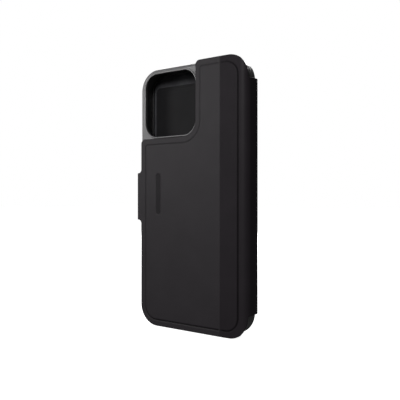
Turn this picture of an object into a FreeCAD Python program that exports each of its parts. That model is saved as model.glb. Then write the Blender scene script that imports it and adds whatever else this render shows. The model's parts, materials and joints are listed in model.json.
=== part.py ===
"""Phone wallet case: a moulded shell bonded inside a leather folio with a spine, a front cover and a clasp tab.

Frame: +Z up the phone, -Y out of the front cover, +Y out of the back panel, the spine at -X, the clasp tab at +X.
The origin is the centre of the face that the phone's back rests on.
"""
import FreeCAD, Part
import os
import Sketcher

# ---------------------------------------------------------------- driving dimensions, in millimetres and degrees
SIZES = {
    # the phone that the case is made for, and the room left around it
    "phone_width": 71.5, "phone_height": 147.5, "phone_depth": 7.85, "phone_corner": 11.0, "phone_slack": 0.05,
    # moulded shell
    "shell_wall": 1.15, "shell_wall_tall": 1.25, "shell_back": 1.1, "shell_edge": 2.0, "shell_front_edge": 0.35,
    "lip_height": 0.75, "lip_reach": 1.3, "flange_reach": 1.0, "flange_corner": 10.0,
    # camera window and its raised rim
    "window_side": 37.0, "window_x": 14.2, "window_z": 53.5, "window_corner": 8.5,
    "rim_wide": 0.85, "rim_proud": 0.6,
    # openings and buttons in the shell's walls
    "port_long": 13.0, "port_tall": 5.4, "speaker_long": 14.0, "speaker_tall": 2.6, "speaker_off": 18.5,
    "switch_long": 9.0, "switch_z": 42.5, "button_tall": 3.4, "button_gap": 0.1, "button_round": 1.2,
    "power_long": 12.5, "power_z": 24.5, "power_proud": 0.5,
    "volume_long": 10.0, "volume_up_z": 28.5, "volume_down_z": 14.5, "volume_proud": 0.12, "press_travel": 0.3,
    "cut_spare": 1.0, "slot_flat": 0.05,
    # layers of the folio
    "skin": 0.55, "lining": 0.3, "bond": 0.15, "back_stiff": 1.0, "cover_stiff": 0.75, "spine_stiff": 0.45,
    "turned_edge": 0.7, "lining_inset": 0.35, "cover_gap": 0.25, "spine_gap": 0.3,
    "bond_inset": 3.0, "bond_corner": 4.0,
    # folio outline
    "panel_tall": 151.7, "panel_tab_side": 35.1, "panel_corner": 12.0, "spine_corner": 7.0,
    "notch_wide": 40.3, "notch_deep": 41.9, "notch_inner": 9.0, "notch_outer": 2.7,
    "crease_x": -21.8, "crease_wide": 1.0, "spine_long": 126.6,
    "back_fold_round": 4.5, "front_fold_round": 3.0, "fold_half": 45.0, "cover_free_side": 35.6,
    # clasp tab
    "tab_tall": 28.0, "tab_fold_round": 2.5, "tab_far_x": 39.1, "tab_web": 1.4, "lip_long": 16.0, "lip_corner": 5.0,
    "lip_gap": 0.25, "magnet_round": 3.5, "magnet_thick": 0.8, "magnet_z": 7.0, "magnet_in": 7.5,
    # inside of the front cover
    "pocket_sheet": 0.2, "cash_sheet": 0.25, "pocket_wide": 62.0, "pocket_x": 1.0, "pocket_low": -62.0,
    "pocket_step": 13.0, "pocket_lowest": 36.0, "cash_tall": 132.0, "cash_margin": 1.0, "pocket_corner": 3.0,
    "keeper_wide": 9.0, "keeper_tall": 24.0, "keeper_thick": 0.4, "keeper_edge": 4.0,
}
# sizes that follow from the driving ones
DERIVED = {
    "cavity_x": "phone_width / 2 + phone_slack",
    "cavity_z": "phone_height / 2 + phone_slack",
    "shell_x": "cavity_x + shell_wall",
    "shell_z": "cavity_z + shell_wall_tall",
    "shell_front": "-(phone_depth + phone_slack + lip_height)",
    "back_inner": "shell_back + bond",
    "back_face": "back_inner + lining + back_stiff + skin",
    "back_skin_low": "back_face - skin - back_stiff",
    "cover_inner": "shell_front - cover_gap",
    "cover_face": "cover_inner - lining - cover_stiff - skin",
    "spine_inner": "-(shell_x + spine_gap)",
    "spine_face": "spine_inner - lining - spine_stiff - skin",
    "back_fold_x": "spine_face + back_fold_round",
    "back_fold_y": "back_face - back_fold_round",
    "front_fold_x": "spine_face + front_fold_round",
    "front_fold_y": "cover_face + front_fold_round",
    "panel_z": "panel_tall / 2",
    "notch_x": "panel_tab_side - notch_wide",
    "notch_z": "panel_z - notch_deep",
    "tab_thick": "skin + back_stiff + lining",
    "tab_fold_x": "tab_far_x - tab_fold_round",
    "tab_fold_y": "back_face - tab_fold_round",
    "lip_y": "cover_face - lip_gap",
    "lip_end": "lip_y - lip_long",
}

doc = FreeCAD.newDocument("phone_wallet_case")
sheet = doc.addObject("Spreadsheet::Sheet", "Sizes")


def fill_sheet():
    """Write the driving sizes as numbers and the derived ones as formulas, each with its alias."""
    row = 1
    for alias, size in SIZES.items():
        sheet.set(f"A{row}", alias)
        sheet.set(f"B{row}", str(size))
        sheet.setAlias(f"B{row}", alias)
        row += 1
    for alias, formula in DERIVED.items():
        sheet.set(f"A{row}", alias)
        sheet.set(f"B{row}", "=" + formula)
        sheet.setAlias(f"B{row}", alias)
        row += 1
    doc.recompute()


fill_sheet()


def bound(formula):
    """The formula with each alias written as the sheet's own, for setExpression."""
    words = []
    word = ""
    for letter in str(formula) + " ":
        if letter.isalnum() or letter == "_":
            word += letter
            continue
        words.append("Sizes." + word if word in SIZES or word in DERIVED else word)
        words.append(letter)
        word = ""
    return "".join(words).strip()


def number(formula):
    """The formula's present value."""
    return float(sheet.evalExpression(bound(formula)))


def new_body(label):
    body = doc.addObject("PartDesign::Body", label)
    body.Label = label
    return body


# Each origin plane: the direction of its normal, which a sketch moved to `place` along the world axis must follow
PLANES = {"XY": ("XY_Plane", 1), "XZ": ("XZ_Plane", -1), "YZ": ("YZ_Plane", 1)}


def sketch_at(body, plane, place, shift="0"):
    """A sketch on one of the body's origin planes, moved to `place` along that plane's world axis.

    `shift` moves the sketch's own origin along its first axis, for outlines that are revolved.
    """
    role, sign = PLANES[plane]
    sketch = body.newObject("Sketcher::SketchObject", body.Label + "_sketch")
    for feature in body.Origin.OriginFeatures:
        if feature.Role == role:
            sketch.AttachmentSupport = [(feature, "")]
    sketch.MapMode = "FlatFace"
    sketch.setExpression("AttachmentOffset.Base.z", bound(f"{sign} * ({place})"))
    sketch.setExpression("AttachmentOffset.Base.x", bound(shift))
    return sketch


def bind(sketch, constraint, formula):
    """Add a constraint whose size is a formula of the sheet."""
    index = sketch.addConstraint(constraint)
    sketch.setExpression(f"Constraints[{index}]", bound(formula))


def unit(start, end):
    step = end - start
    return step / step.Length


def outline(sketch, stops, radii=None):
    """Closed outline whose edges are upright, level, upright, level and so on.

    stops holds each edge's position across its own direction, and radii the rounding of the corner before each
    edge (None for a sharp one).
    """
    count = len(stops)
    radii = radii or [None] * count
    places = [number(stop) for stop in stops]
    sizes = [number(radius) if radius else 0.0 for radius in radii]
    corners = []
    for i in range(count):
        upright, level = (places[i], places[i - 1]) if i % 2 == 0 else (places[i - 1], places[i])
        corners.append(FreeCAD.Vector(upright, level, 0))
    ways = [unit(corners[i], corners[(i + 1) % count]) for i in range(count)]
    edges = []
    for i in range(count):
        start = corners[i] + ways[i] * sizes[i]
        end = corners[(i + 1) % count] - ways[i] * sizes[(i + 1) % count]
        edge = sketch.addGeometry(Part.LineSegment(start, end), False)
        edges.append(edge)
        sketch.addConstraint(Sketcher.Constraint("Vertical" if i % 2 == 0 else "Horizontal", edge))
        kind = "DistanceX" if i % 2 == 0 else "DistanceY"
        bind(sketch, Sketcher.Constraint(kind, -1, 1, edge, 1, places[i]), stops[i])
    for i in range(count):
        before, after = edges[i - 1], edges[i]
        if not radii[i]:
            sketch.addConstraint(Sketcher.Constraint("Coincident", before, 2, after, 1))
            continue
        size = sizes[i]
        arc_start = corners[i] - ways[i - 1] * size
        arc_end = corners[i] + ways[i] * size
        centre = arc_start + ways[i] * size
        turns_left = ways[i - 1].cross(ways[i]).z > 0
        first, last = (arc_start, arc_end) if turns_left else (arc_end, arc_start)
        circle = Part.Circle(centre, FreeCAD.Vector(0, 0, 1), size)
        arc = sketch.addGeometry(Part.ArcOfCircle(circle, circle.parameter(first), circle.parameter(last)), False)
        sketch.addConstraint(Sketcher.Constraint("Tangent", before, 2, arc, 1 if turns_left else 2))
        sketch.addConstraint(Sketcher.Constraint("Tangent", after, 1, arc, 2 if turns_left else 1))
        bind(sketch, Sketcher.Constraint("Radius", arc, size), radii[i])


def feature(body, kind, sketch, reverse):
    made = body.newObject("PartDesign::" + kind, body.Label + "_" + kind.lower())
    made.Profile = sketch
    made.Reversed = reverse
    sketch.Visibility = False
    return made


def pad(body, plane, place, length, stops, radii=None, reverse=False):
    """Pad an outline from `place`: towards -Y on XZ, +X on YZ and +Z on XY, or the other way when reversed."""
    sketch = sketch_at(body, plane, place)
    outline(sketch, stops, radii)
    made = feature(body, "Pad", sketch, reverse)
    made.setExpression("Length", bound(length))
    doc.recompute()
    return made


def cut(body, plane, place, length, stops, radii=None, reverse=False):
    """Pocket an outline from `place`: towards +Y on XZ, -X on YZ and -Z on XY, or the other way when reversed."""
    before = body.Shape.Volume
    sketch = sketch_at(body, plane, place)
    outline(sketch, stops, radii)
    made = feature(body, "Pocket", sketch, reverse)
    made.setExpression("Length", bound(length))
    doc.recompute()
    if body.Shape.Volume > before - 1e-6:
        raise RuntimeError(f"a pocket in {body.Label} removes nothing")
    return made


def fold(body, plane, place, centre, near, far, half_height, reverse=False):
    """Turn an upright strip, from `near` to `far` of the fold's axis, half way round the fold."""
    before = body.Shape.Volume
    sketch = sketch_at(body, plane, place, centre)
    outline(sketch, [near, f"-({half_height})", far, half_height])
    made = feature(body, "Revolution", sketch, reverse)
    made.ReferenceAxis = (sketch, ["V_Axis"])
    made.setExpression("Angle", bound("fold_half"))
    doc.recompute()
    if body.Shape.Volume < before + 1e-6:
        raise RuntimeError(f"a fold in {body.Label} adds nothing")
    return made


def round_edges(body, radius, chosen):
    """Fillet the edges of the body that `chosen` picks."""
    names = [f"Edge{i + 1}" for i, edge in enumerate(body.Shape.Edges) if chosen(edge)]
    base = body.Tip
    made = body.newObject("PartDesign::Fillet", body.Label + "_fillet")
    made.Base = (base, names)
    made.setExpression("Radius", bound(radius))
    body.Tip = made
    doc.recompute()
    return made


def at_height(direction, value):
    """A test for edges that lie wholly at one height along a world axis."""
    def chosen(edge):
        box = edge.BoundBox
        low, high = {"x": (box.XMin, box.XMax), "y": (box.YMin, box.YMax), "z": (box.ZMin, box.ZMax)}[direction]
        return abs(low - value) < 1e-4 and abs(high - value) < 1e-4
    return chosen


def box_stops(half_x, half_z, middle_x="0", middle_z="0"):
    """Stops of a rectangle about its middle."""
    return [f"{middle_x} - ({half_x})", f"{middle_z} - ({half_z})",
            f"{middle_x} + ({half_x})", f"{middle_z} + ({half_z})"]


def panel_stops(inset, spine_side):
    """Stops and corner roundings of the back panel with its open camera corner, drawn in by `inset`."""
    stops = [spine_side, f"-(panel_z - {inset})", f"panel_tab_side - {inset}", f"notch_z - {inset}",
             f"notch_x - {inset}", f"panel_z - {inset}"]
    corner = f"spine_corner - {inset}"
    outer = f"notch_outer - {inset}"
    return stops, [corner, corner, f"panel_corner - {inset}", outer, f"notch_inner + {inset}", outer]


# ---------------------------------------------------------------- moulded shell
def window_stops(margin):
    half = f"window_side / 2 + {margin}"
    return box_stops(half, half, "window_x", "window_z"), [f"window_corner + {margin}"] * 4


def make_shell_plate():
    body = new_body("shell_plate")
    pad(body, "XZ", "shell_back", "shell_back",
        box_stops("cavity_x - flange_reach", "cavity_z - flange_reach"), ["flange_corner"] * 4)
    stops, radii = window_stops("rim_wide")
    cut(body, "XZ", "0", "shell_back", stops, radii)
    return body


def make_shell_bumper():
    body = new_body("shell_bumper")
    corner = "phone_corner + shell_wall"
    pad(body, "XZ", "shell_back", "shell_back - shell_front", box_stops("shell_x", "shell_z"), [corner] * 4)
    round_edges(body, "shell_edge", at_height("y", number("shell_back")))
    round_edges(body, "shell_front_edge", at_height("y", number("shell_front")))
    cut(body, "XZ", "-(phone_depth + phone_slack)", "phone_depth + phone_slack",
        box_stops("cavity_x", "cavity_z"), ["phone_corner"] * 4)
    cut(body, "XZ", "shell_front", "lip_height",
        box_stops("cavity_x - lip_reach", "cavity_z - lip_reach"), ["phone_corner - lip_reach"] * 4)
    cut(body, "XZ", "0", "shell_back",
        box_stops("cavity_x - flange_reach", "cavity_z - flange_reach"), ["flange_corner"] * 4)
    stops, radii = window_stops("rim_wide")
    cut(body, "XZ", "0", "shell_back", stops, radii)
    cut_wall_openings(body)
    return body


def side_slot(body, place, half_long, middle, half_tall, rounding):
    """A rounded slot through a side wall, from `place` inwards or outwards along -X."""
    cut(body, "YZ", place, "shell_wall + 2 * cut_spare",
        box_stops(half_tall, half_long, "-phone_depth / 2", middle), [rounding] * 4)


def cut_wall_openings(body):
    """Charging port and speaker openings in the bottom wall, switch and button slots in the side walls."""
    from_inside = "-cavity_z + cut_spare"
    through = "shell_wall_tall + 2 * cut_spare"
    cut(body, "XY", from_inside, through,
        box_stops("port_long / 2", "port_tall / 2", "0", "-phone_depth / 2"), ["port_tall / 2 - slot_flat"] * 4)
    for side in ("-", ""):
        cut(body, "XY", from_inside, through,
            box_stops("speaker_long / 2", "speaker_tall / 2", f"{side}speaker_off", "-phone_depth / 2"),
            ["speaker_tall / 2 - slot_flat"] * 4)
    slot_tall = "button_tall / 2 + button_gap"
    slot_round = "button_round + button_gap"
    spine_side = "-cavity_x + cut_spare"
    side_slot(body, spine_side, "switch_long / 2", "switch_z", slot_tall, slot_round)
    for middle in ("volume_up_z", "volume_down_z"):
        side_slot(body, spine_side, "volume_long / 2 + button_gap", middle, slot_tall, slot_round)
    side_slot(body, "shell_x + cut_spare", "power_long / 2 + button_gap", "power_z", slot_tall, slot_round)


def make_camera_bezel():
    body = new_body("camera_bezel")
    stops, radii = window_stops("rim_wide")
    pad(body, "XZ", "shell_back + rim_proud", "shell_back + rim_proud", stops, radii)
    stops, radii = window_stops("0")
    cut(body, "XZ", "0", "shell_back + rim_proud", stops, radii)
    round_edges(body, "rim_wide / 3", at_height("y", number("shell_back + rim_proud")))
    return body


def make_button(label, side, long, middle, proud):
    """A button cap that fills its slot, stands proud outside, and stops its press travel short of the phone."""
    body = new_body(label)
    thick = f"shell_wall + {proud} - press_travel"
    outer = f"shell_x + {proud}"
    place = outer if side > 0 else f"-({outer})"
    pad(body, "YZ", place, thick, box_stops("button_tall / 2", f"{long} / 2", "-phone_depth / 2", middle),
        ["button_round"] * 4, reverse=side > 0)
    return body


def make_bond_pad():
    body = new_body("shell_bond_pad")
    stops, radii = panel_stops("bond_inset", "crease_x + bond_corner")
    radii = ["bond_corner", "bond_corner", "panel_corner - bond_inset", None, "notch_inner + bond_inset", None]
    pad(body, "XZ", "back_inner", "bond", stops, radii)
    return body


# ---------------------------------------------------------------- back panel
def make_back_board(label, stops, radii):
    body = new_body(label)
    pad(body, "XZ", "back_face - skin", "back_stiff", stops, radii)
    return body


def tab_web_edge(edge):
    """True for the two inner corners between the panel's free edge and the tab."""
    box = edge.BoundBox
    thin = box.XLength < 1e-4 and box.ZLength < 1e-4
    at_panel = abs(box.XMin - number("panel_tab_side")) < 1e-4
    return thin and at_panel and abs(abs(box.ZMin) - number("tab_tall / 2")) < 1e-4


def make_back_skin():
    """Outer leather: turned over the boards' edges, and running into the spine fold and the clasp tab's fold."""
    body = new_body("back_skin")
    stops, radii = panel_stops("0", "back_fold_x")
    pad(body, "XZ", "back_face", "skin + back_stiff", stops, radii)
    stops, radii = panel_stops("turned_edge", "back_fold_x + turned_edge")
    cut(body, "XZ", "back_skin_low", "back_stiff", stops, radii)
    fold(body, "YZ", "back_fold_x", "back_fold_y", "back_fold_round - skin", "back_fold_round", "spine_long / 2")
    # the tab's root runs on from the panel's free edge, with small webs in the corners
    pad(body, "XZ", "back_face", "tab_thick", ["panel_tab_side - turned_edge / 2", "-tab_tall / 2",
                                                "tab_fold_x", "tab_tall / 2"])
    round_edges(body, "tab_web", tab_web_edge)
    fold(body, "YZ", "tab_fold_x", "tab_fold_y", "tab_fold_round - tab_thick", "tab_fold_round", "tab_tall / 2",
         reverse=True)
    return body


def make_back_lining():
    body = new_body("back_lining")
    stops, radii = panel_stops("lining_inset", "back_fold_x + lining_inset")
    stops[2] = "panel_tab_side - turned_edge"
    pad(body, "XZ", "back_skin_low", "lining", stops, radii)
    return body


# ---------------------------------------------------------------- spine
def make_spine_skin():
    body = new_body("spine_skin")
    wall = ["spine_face", "front_fold_y", "spine_face + skin", "back_fold_y"]
    pad(body, "XY", "-spine_long / 2", "spine_long", wall)
    far, near = "-back_fold_round", "-(back_fold_round - skin)"
    fold(body, "XZ", "back_fold_y", "back_fold_x", far, near, "spine_long / 2", reverse=True)
    far, near = "-front_fold_round", "-(front_fold_round - skin)"
    fold(body, "XZ", "front_fold_y", "front_fold_x", far, near, "spine_long / 2")
    return body


def make_spine_board():
    body = new_body("spine_board")
    stops = ["spine_face + skin", "front_fold_y", "spine_face + skin + spine_stiff", "back_fold_y"]
    pad(body, "XY", "-(spine_long / 2 - turned_edge)", "spine_long - 2 * turned_edge", stops)
    return body


def make_spine_lining():
    body = new_body("spine_lining")
    stops = ["spine_inner - lining", "front_fold_y", "spine_inner", "back_fold_y"]
    pad(body, "XY", "-(spine_long / 2 - lining_inset)", "spine_long - 2 * lining_inset", stops)
    return body


# ---------------------------------------------------------------- front cover
def cover_stops(inset):
    stops = [f"front_fold_x + {inset}", f"-(panel_z - {inset})", f"cover_free_side - {inset}", f"panel_z - {inset}"]
    return stops, [f"spine_corner - {inset}"] * 2 + [f"panel_corner - {inset}"] * 2


def make_cover_skin():
    body = new_body("cover_skin")
    stops, radii = cover_stops("0")
    pad(body, "XZ", "cover_face + skin + cover_stiff", "skin + cover_stiff", stops, radii)
    stops, radii = cover_stops("turned_edge")
    cut(body, "XZ", "cover_face + skin", "cover_stiff", stops, radii)
    fold(body, "YZ", "front_fold_x", "front_fold_y", "-front_fold_round", "-(front_fold_round - skin)",
         "spine_long / 2", reverse=True)
    return body


def keeper_stops():
    middle_x = "cover_free_side - turned_edge - keeper_edge - keeper_wide / 2"
    return box_stops("keeper_wide / 2", "keeper_tall / 2", middle_x)


def make_cover_board():
    body = new_body("cover_board")
    stops, radii = cover_stops("turned_edge")
    pad(body, "XZ", "cover_face + skin + cover_stiff", "cover_stiff", stops, radii)
    cut(body, "XZ", "cover_face + skin", "keeper_thick", keeper_stops(), ["1"] * 4)
    return body


def make_keeper_plate():
    body = new_body("keeper_plate")
    pad(body, "XZ", "cover_face + skin + keeper_thick", "keeper_thick", keeper_stops(), ["1"] * 4)
    return body


def make_cover_lining():
    body = new_body("cover_lining")
    stops, radii = cover_stops("lining_inset")
    pad(body, "XZ", "cover_inner", "lining", stops, radii)
    return body


def make_cash_pocket():
    body = new_body("cash_pocket")
    pad(body, "XZ", "cover_inner + cash_sheet", "cash_sheet",
        box_stops("pocket_wide / 2 + cash_margin", "cash_tall / 2", "pocket_x"), ["pocket_corner"] * 4)
    return body


def make_card_pocket(label, tier):
    """One card pocket; tier 0 is the lowest and shortest, and lies nearest the phone."""
    body = new_body(label)
    low = f"cover_inner + cash_sheet + {2 - tier} * pocket_sheet"
    top = f"pocket_low + pocket_lowest + {tier} * pocket_step"
    stops = ["pocket_x - pocket_wide / 2", "pocket_low", "pocket_x + pocket_wide / 2", top]
    corner = "pocket_corner"
    pad(body, "XZ", f"{low} + pocket_sheet", "pocket_sheet", stops, [None, corner, corner, None])
    return body


# ---------------------------------------------------------------- clasp tab
def make_tab_skin():
    body = new_body("tab_skin")
    wall = ["tab_far_x - skin", "lip_y", "tab_far_x", "tab_fold_y"]
    pad(body, "XY", "-tab_tall / 2", "tab_tall", wall)
    fold(body, "XZ", "tab_fold_y", "tab_fold_x", "tab_fold_round - skin", "tab_fold_round", "tab_tall / 2")
    return body


def make_tab_layer(label, outer, inner, inset):
    """One inner layer of the part of the tab that lies along the side."""
    body = new_body(label)
    stops = [f"tab_far_x - {inner}", "lip_y", f"tab_far_x - {outer}", "tab_fold_y"]
    pad(body, "XY", f"-(tab_tall / 2 - {inset})", f"tab_tall - 2 * {inset}", stops)
    return body


def lip_stops(inset):
    stops = [f"lip_end + {inset}", f"-(tab_tall / 2 - {inset})", "lip_y", f"tab_tall / 2 - {inset}"]
    corner = f"lip_corner - {inset}"
    return stops, [corner, corner, None, None]


def make_lip_layer(label, outer, inner, inset):
    """One layer of the lip, between two depths under its outer face."""
    body = new_body(label)
    stops, radii = lip_stops(inset)
    pad(body, "YZ", f"tab_far_x - {inner}", f"{inner} - {outer}", stops, radii)
    return body


def round_sketch(body, place, middle_y, middle_z, radius):
    """A circle on a plane across X."""
    sketch = sketch_at(body, "YZ", place)
    centre = FreeCAD.Vector(number(middle_y), number(middle_z), 0)
    circle = sketch.addGeometry(Part.Circle(centre, FreeCAD.Vector(0, 0, 1), number(radius)), False)
    bind(sketch, Sketcher.Constraint("DistanceX", -1, 1, circle, 3, centre.x), middle_y)
    bind(sketch, Sketcher.Constraint("DistanceY", -1, 1, circle, 3, centre.y), middle_z)
    bind(sketch, Sketcher.Constraint("Radius", circle, number(radius)), radius)
    return sketch


MAGNET_PLACES = ("magnet_z", "-magnet_z")


def make_lip_stiffener():
    body = make_lip_layer("lip_stiffener", "skin", "(skin + back_stiff)", "turned_edge")
    for middle in MAGNET_PLACES:
        before = body.Shape.Volume
        sketch = round_sketch(body, "tab_far_x - skin - back_stiff", "lip_y - magnet_in", middle, "magnet_round")
        made = feature(body, "Pocket", sketch, True)
        made.setExpression("Length", bound("magnet_thick"))
        doc.recompute()
        if body.Shape.Volume > before - 1e-6:
            raise RuntimeError("a magnet pocket removes nothing")
    return body


def make_lip_magnets():
    """Two disc magnets in the stiffener's pockets, as one group of separate solids."""
    discs = []
    for middle in MAGNET_PLACES:
        disc = doc.addObject("Part::Cylinder", "magnet")
        disc.setExpression("Radius", bound("magnet_round"))
        disc.setExpression("Height", bound("magnet_thick"))
        disc.setExpression("Placement.Base.x", bound("tab_far_x - skin - back_stiff"))
        disc.setExpression("Placement.Base.y", bound("lip_y - magnet_in"))
        disc.setExpression("Placement.Base.z", bound(middle))
        disc.Placement.Rotation = FreeCAD.Rotation(FreeCAD.Vector(0, 1, 0), 90)
        discs.append(disc)
    group = doc.addObject("Part::Compound", "lip_magnets")
    group.Links = discs
    group.Label = "lip_magnets"
    doc.recompute()
    return group


# ---------------------------------------------------------------- the whole case
def make_all():
    spine_stop = "crease_x - crease_wide / 2"
    panel_stop = "crease_x + crease_wide / 2"
    # the main board's corners at the crease are square, and the strip's outer corners follow the panel's
    board, board_radii = panel_stops("turned_edge", panel_stop)
    board_radii = [None, None] + board_radii[2:]
    strip = ["back_fold_x + turned_edge", "-(panel_z - turned_edge)", spine_stop, "panel_z - turned_edge"]
    corner = "spine_corner - turned_edge"
    return [
        make_shell_plate(), make_shell_bumper(), make_camera_bezel(), make_bond_pad(),
        make_button("power_button", 1, "power_long", "power_z", "power_proud"),
        make_button("volume_up_button", -1, "volume_long", "volume_up_z", "volume_proud"),
        make_button("volume_down_button", -1, "volume_long", "volume_down_z", "volume_proud"),
        make_back_board("back_board", board, board_radii),
        make_back_board("strip_board", strip, [corner, corner, None, None]),
        make_back_skin(), make_back_lining(),
        make_spine_skin(), make_spine_board(), make_spine_lining(),
        make_cover_skin(), make_cover_board(), make_cover_lining(), make_keeper_plate(), make_cash_pocket(),
        make_card_pocket("card_pocket_lower", 0), make_card_pocket("card_pocket_middle", 1),
        make_card_pocket("card_pocket_upper", 2),
        make_tab_skin(), make_tab_layer("tab_stiffener", "skin", "(skin + back_stiff)", "turned_edge"),
        make_tab_layer("tab_lining", "(skin + back_stiff)", "tab_thick", "lining_inset"),
        make_lip_layer("lip_skin", "0", "skin", "0"), make_lip_stiffener(),
        make_lip_layer("lip_lining", "(skin + back_stiff)", "tab_thick", "lining_inset"), make_lip_magnets(),
    ]


def write_all(parts):
    """Stop on any failed object or bad solid, then write one file per sub-part."""
    doc.recompute()
    for item in doc.Objects:
        if "Invalid" in item.State or "Error" in item.State:
            raise RuntimeError(f"{item.Label} did not recompute: {item.State}")
    for part in parts:
        if part.Shape.isNull() or not part.Shape.isValid() or not part.Shape.Solids:
            raise RuntimeError(f"{part.Label} has no valid solid")
    os.makedirs("parts", exist_ok=True)
    for part in parts:
        part.Shape.exportStep(f"parts/{part.Label}.step")
        box = part.Shape.optimalBoundingBox()
        print(f"{part.Label:20s} {len(part.Shape.Solids)} X {box.XMin:7.2f} {box.XMax:7.2f}  "
              f"Y {box.YMin:7.2f} {box.YMax:7.2f}  Z {box.ZMin:7.2f} {box.ZMax:7.2f}")


write_all(make_all())
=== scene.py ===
import json
import math

import bpy
import numpy as np
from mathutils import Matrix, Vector
from mathutils.geometry import delaunay_2d_cdt


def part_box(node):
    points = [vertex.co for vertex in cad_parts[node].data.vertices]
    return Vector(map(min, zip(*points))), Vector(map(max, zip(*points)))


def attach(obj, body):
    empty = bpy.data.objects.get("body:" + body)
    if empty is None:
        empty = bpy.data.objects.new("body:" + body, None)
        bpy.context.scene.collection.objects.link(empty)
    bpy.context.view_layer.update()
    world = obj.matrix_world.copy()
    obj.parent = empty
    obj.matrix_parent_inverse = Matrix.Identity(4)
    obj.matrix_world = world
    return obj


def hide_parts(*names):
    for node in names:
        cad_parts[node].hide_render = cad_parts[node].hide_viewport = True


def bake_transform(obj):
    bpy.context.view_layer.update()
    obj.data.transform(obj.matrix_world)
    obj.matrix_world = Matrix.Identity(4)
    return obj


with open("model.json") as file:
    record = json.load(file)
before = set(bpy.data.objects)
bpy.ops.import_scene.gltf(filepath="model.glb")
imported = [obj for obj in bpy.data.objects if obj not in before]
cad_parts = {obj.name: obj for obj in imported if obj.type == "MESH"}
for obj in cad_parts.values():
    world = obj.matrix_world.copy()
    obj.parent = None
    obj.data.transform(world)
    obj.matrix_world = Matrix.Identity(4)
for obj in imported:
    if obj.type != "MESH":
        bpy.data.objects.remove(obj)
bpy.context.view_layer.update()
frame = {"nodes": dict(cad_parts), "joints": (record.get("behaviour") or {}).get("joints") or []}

# Lengths are in millimetres unless a name says otherwise, and become metres as meshes are made.
MM = 0.001


# ------------------------------ sizes read from the frame
def low(node):
    """A node's lowest corner at rest."""
    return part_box(node)[0] / MM


def high(node):
    """A node's highest corner at rest."""
    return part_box(node)[1] / MM


def joint_place(name):
    """A point on a joint's axis."""
    return np.array(next(joint["pos_m"] for joint in frame["joints"] if joint["name"] == name)) / MM


TURNED = 0.7                                    # leather turned over the boards' edges
BACK_FACE = high("back_skin").y
BACK_INNER = low("back_board").y
BOARD_TOP = high("back_board").y
PANEL_Z = high("back_skin").z
TAB_SIDE = high("back_board").x + TURNED
SPINE_FACE = low("spine_skin").x
SPINE_Z = high("spine_skin").z
COVER_FACE = low("cover_skin").y
COVER_SIDE = high("cover_skin").x
TAB_FAR = high("tab_skin").x
TAB_Z = high("tab_skin").z
LIP_Y = high("lip_skin").y
LIP_END = low("lip_skin").y
CREASE_X = (low("back_board").x + high("strip_board").x) / 2
LINING = high("cover_lining").y - low("cover_lining").y
SKIN = high("back_skin").y - BOARD_TOP
BACK_STIFF = BOARD_TOP - BACK_INNER
SPINE_STIFF = high("spine_board").x - low("spine_board").x
COVER_STIFF = high("cover_board").y - low("cover_board").y
BEZEL_GAP = 0.05                                # between the camera window's rim and the leather's notch
NOTCH_TALL = 41.9                               # from the panel's top edge to the notch's lower edge
NOTCH_X = low("camera_bezel").x - BEZEL_GAP
NOTCH_Z = PANEL_Z - NOTCH_TALL

# each fold turns about a line on its own outer face, half way round, so the face gives its rounding
HALF_TURN = 1 - math.sqrt(0.5)
BACK_ROUND = (joint_place("back_fold")[0] - SPINE_FACE) / HALF_TURN
COVER_ROUND = (joint_place("cover_fold")[0] - SPINE_FACE) / HALF_TURN
TAB_ROUND = (TAB_FAR - joint_place("tab_root_fold")[0]) / HALF_TURN


# ------------------------------ the way the leather runs round the case
STRIP_TILT = math.radians(1.4)                  # the strip beyond the crease leans towards the front
CREASE_LONG = 0.01                              # the crease is a sharp turn
WALK_STEP = 0.04


def walk(start, heading, legs):
    """Points of a line seen from above: each leg is (length, turn to the left), sampled finely."""
    xs, ys, headings, lengths = [start[0]], [start[1]], [heading], [0.0]
    ends = []
    for length, turn in legs:
        steps = max(2, int(length / WALK_STEP))
        for _ in range(steps):
            middle = headings[-1] + turn / steps / 2
            xs.append(xs[-1] + math.cos(middle) * length / steps)
            ys.append(ys[-1] + math.sin(middle) * length / steps)
            headings.append(headings[-1] + turn / steps)
            lengths.append(lengths[-1] + length / steps)
        ends.append(lengths[-1])
    return np.array([lengths, xs, ys, headings]), ends


TAB_FOLD_X, TAB_FOLD_Y = TAB_FAR - TAB_ROUND, BACK_FACE - TAB_ROUND
STRIP_FAR_X = SPINE_FACE + BACK_ROUND
STRIP_LONG = (CREASE_X - STRIP_FAR_X) / math.cos(STRIP_TILT)
FOLD_ROUND = BACK_ROUND / (1 - math.sin(STRIP_TILT))
FOLD_TURN = math.pi / 2 - STRIP_TILT
SPINE_TOP_Y = BACK_FACE - STRIP_LONG * math.sin(STRIP_TILT) - FOLD_ROUND * math.cos(STRIP_TILT)
FRONT_FOLD_X, FRONT_FOLD_Y = SPINE_FACE + COVER_ROUND, COVER_FACE + COVER_ROUND
QUARTER = math.pi / 2
LEGS = [
    (TAB_FOLD_Y - LIP_END, 0.0),                # lip and the tab's wall
    (TAB_ROUND * QUARTER, QUARTER),             # the tab's root fold
    (TAB_FOLD_X - CREASE_X, 0.0),               # back panel
    (CREASE_LONG, STRIP_TILT),                  # crease
    (STRIP_LONG, 0.0),                          # strip
    (FOLD_ROUND * FOLD_TURN, FOLD_TURN),        # back fold
    (SPINE_TOP_Y - FRONT_FOLD_Y, 0.0),          # spine
    (COVER_ROUND * QUARTER, QUARTER),           # cover fold
    (COVER_SIDE - FRONT_FOLD_X, 0.0),           # front cover
]
PATH, ENDS = walk((TAB_FAR, LIP_END), QUARTER, LEGS)
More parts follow.
